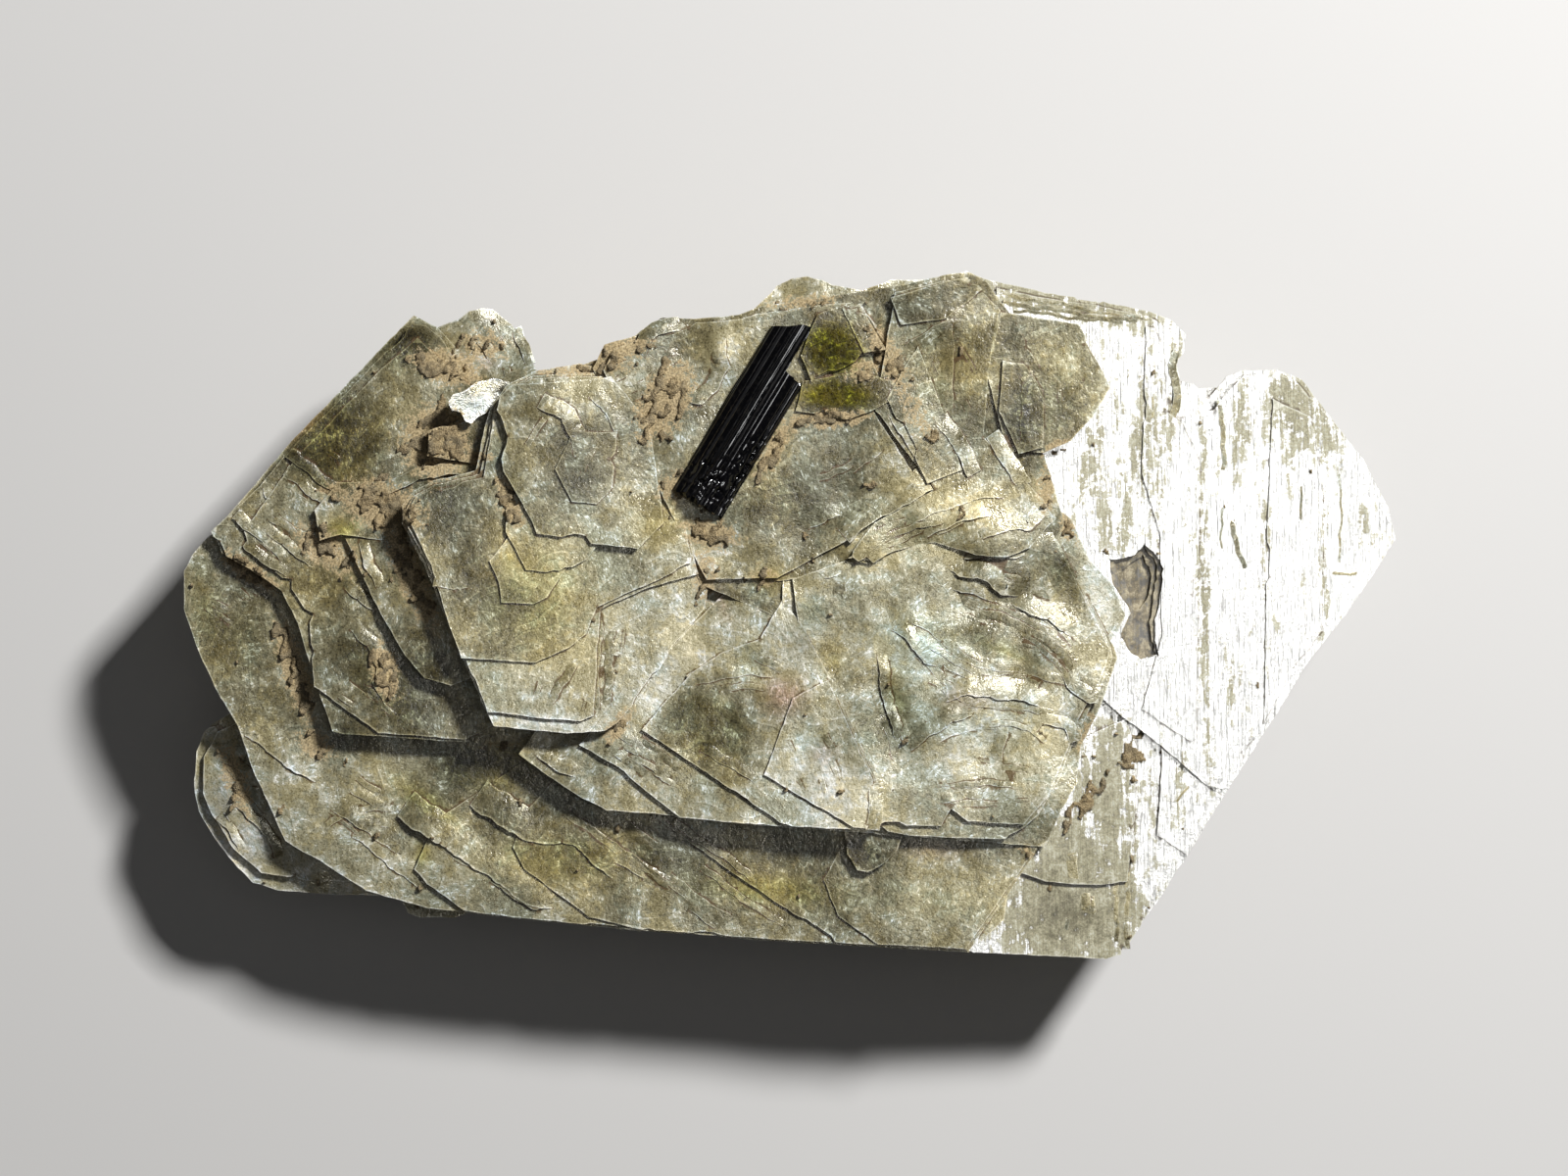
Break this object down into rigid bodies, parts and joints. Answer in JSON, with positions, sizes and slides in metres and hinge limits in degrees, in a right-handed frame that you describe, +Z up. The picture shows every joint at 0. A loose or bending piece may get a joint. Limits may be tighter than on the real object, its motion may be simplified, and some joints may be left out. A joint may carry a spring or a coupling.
{
  "type": "mica crystal cluster",
  "caption": "Flat cluster of intergrown leafy mica crystals with stepped plates and a black tourmaline prism bedded in its top; a display mineral or stone prop.",
  "frame": {"origin": "centre of the bounding box in plan, at the height of the flat face it rests on", "axes": "+X along the longest extent, towards the smooth silvery plate; +Z up, away from the resting face and towards the face the prism lies in; +Y towards the edge nearest the prism's upper end"},
  "size_m": [0.12, 0.068, 0.0221],
  "materials": {
    "mica": "pearly, silvery on the right plate, dull and clay-stained in the steps",
    "tourmaline": "glossy black, lengthwise grooves"
  },
  "bodies": {
    "root": {"mica_cluster": "mica", "tourmaline_crystal": "tourmaline"}
  },
  "joints": []
}
